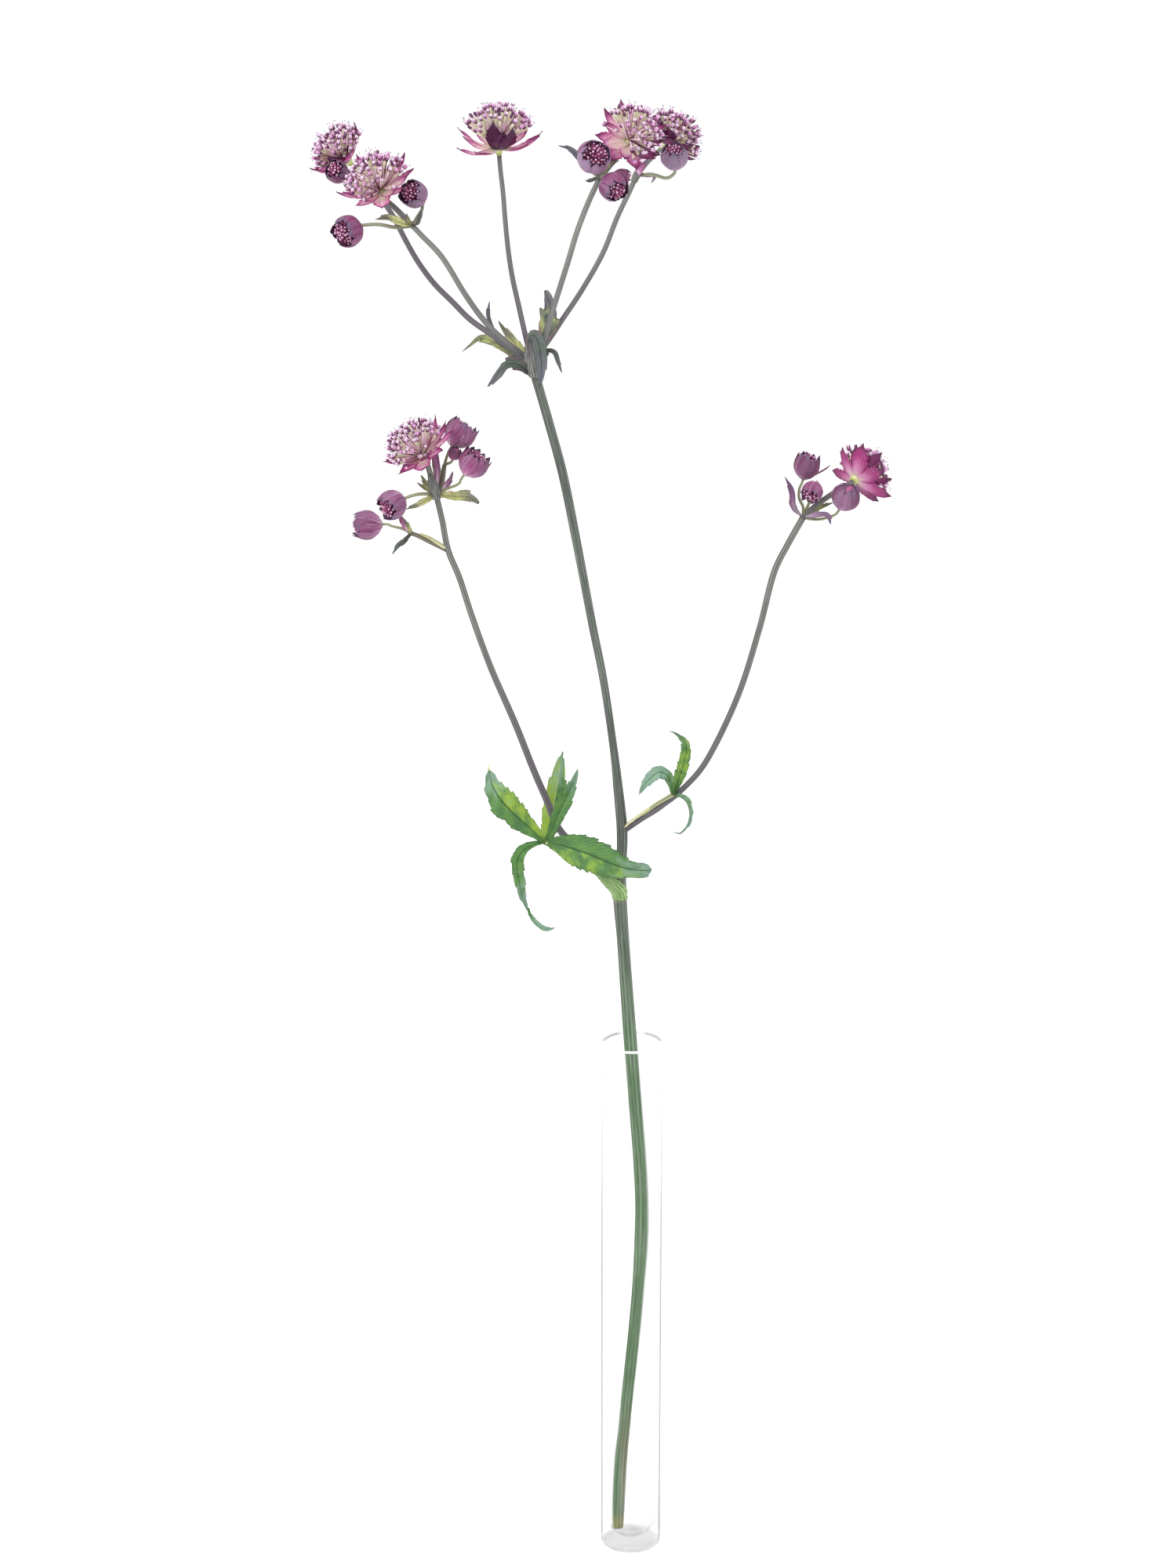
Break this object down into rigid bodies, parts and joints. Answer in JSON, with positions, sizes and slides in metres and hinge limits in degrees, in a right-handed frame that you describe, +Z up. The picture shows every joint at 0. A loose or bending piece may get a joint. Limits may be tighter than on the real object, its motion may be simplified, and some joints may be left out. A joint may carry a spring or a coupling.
{
  "type": "roma astrantia stem",
  "caption": "Cut masterwort stem with open blooms, buds and lobed leaves, standing in a narrow clear glass tube vase.",
  "frame": {"origin": "centre of the vase's foot, on the surface that it stands on", "axes": "+X to the right and +Y away from someone who looks at the front, +Z up along the vase"},
  "size_m": [0.2251, 0.0767, 0.607],
  "materials": {
    "glass": "clear polished",
    "stem": "satin, lengthwise ribs",
    "leaf": "satin, veined",
    "small_leaf": "satin, veined",
    "bract": "papery",
    "floret": "matte",
    "bud": "papery"
  },
  "bodies": {
    "root": {"vase": "glass", "stem": "stem", "leaf_left": "leaf", "leaf_right": "leaf", "junction_leaf_1": "small_leaf", "junction_leaf_2": "small_leaf", "junction_leaf_3": "small_leaf", "junction_leaf_4": "small_leaf", "junction_leaf_5": "small_leaf", "bloom_back_left_bracts": "bract", "bloom_back_left_florets": "floret", "bloom_back_right_bracts": "bract", "bloom_back_right_florets": "floret", "bloom_centre_bracts": "bract", "bloom_centre_florets": "floret", "bloom_front_left_bracts": "bract", "bloom_front_left_florets": "floret", "bloom_front_right_bracts": "bract", "bloom_front_right_florets": "floret", "bloom_side_left_bracts": "bract", "bloom_side_left_florets": "floret", "bloom_side_right_bracts": "bract", "bloom_side_right_florets": "floret", "bud_1": "bud", "bud_2": "bud", "bud_3": "bud", "bud_4": "bud", "bud_5": "bud", "bud_6": "bud", "bud_7": "bud", "bud_8": "bud", "bud_9": "bud", "bud_10": "bud", "bud_11": "bud", "bud_12": "bud", "bud_13": "bud", "bud_14": "bud", "bud_15": "bud"}
  },
  "joints": []
}
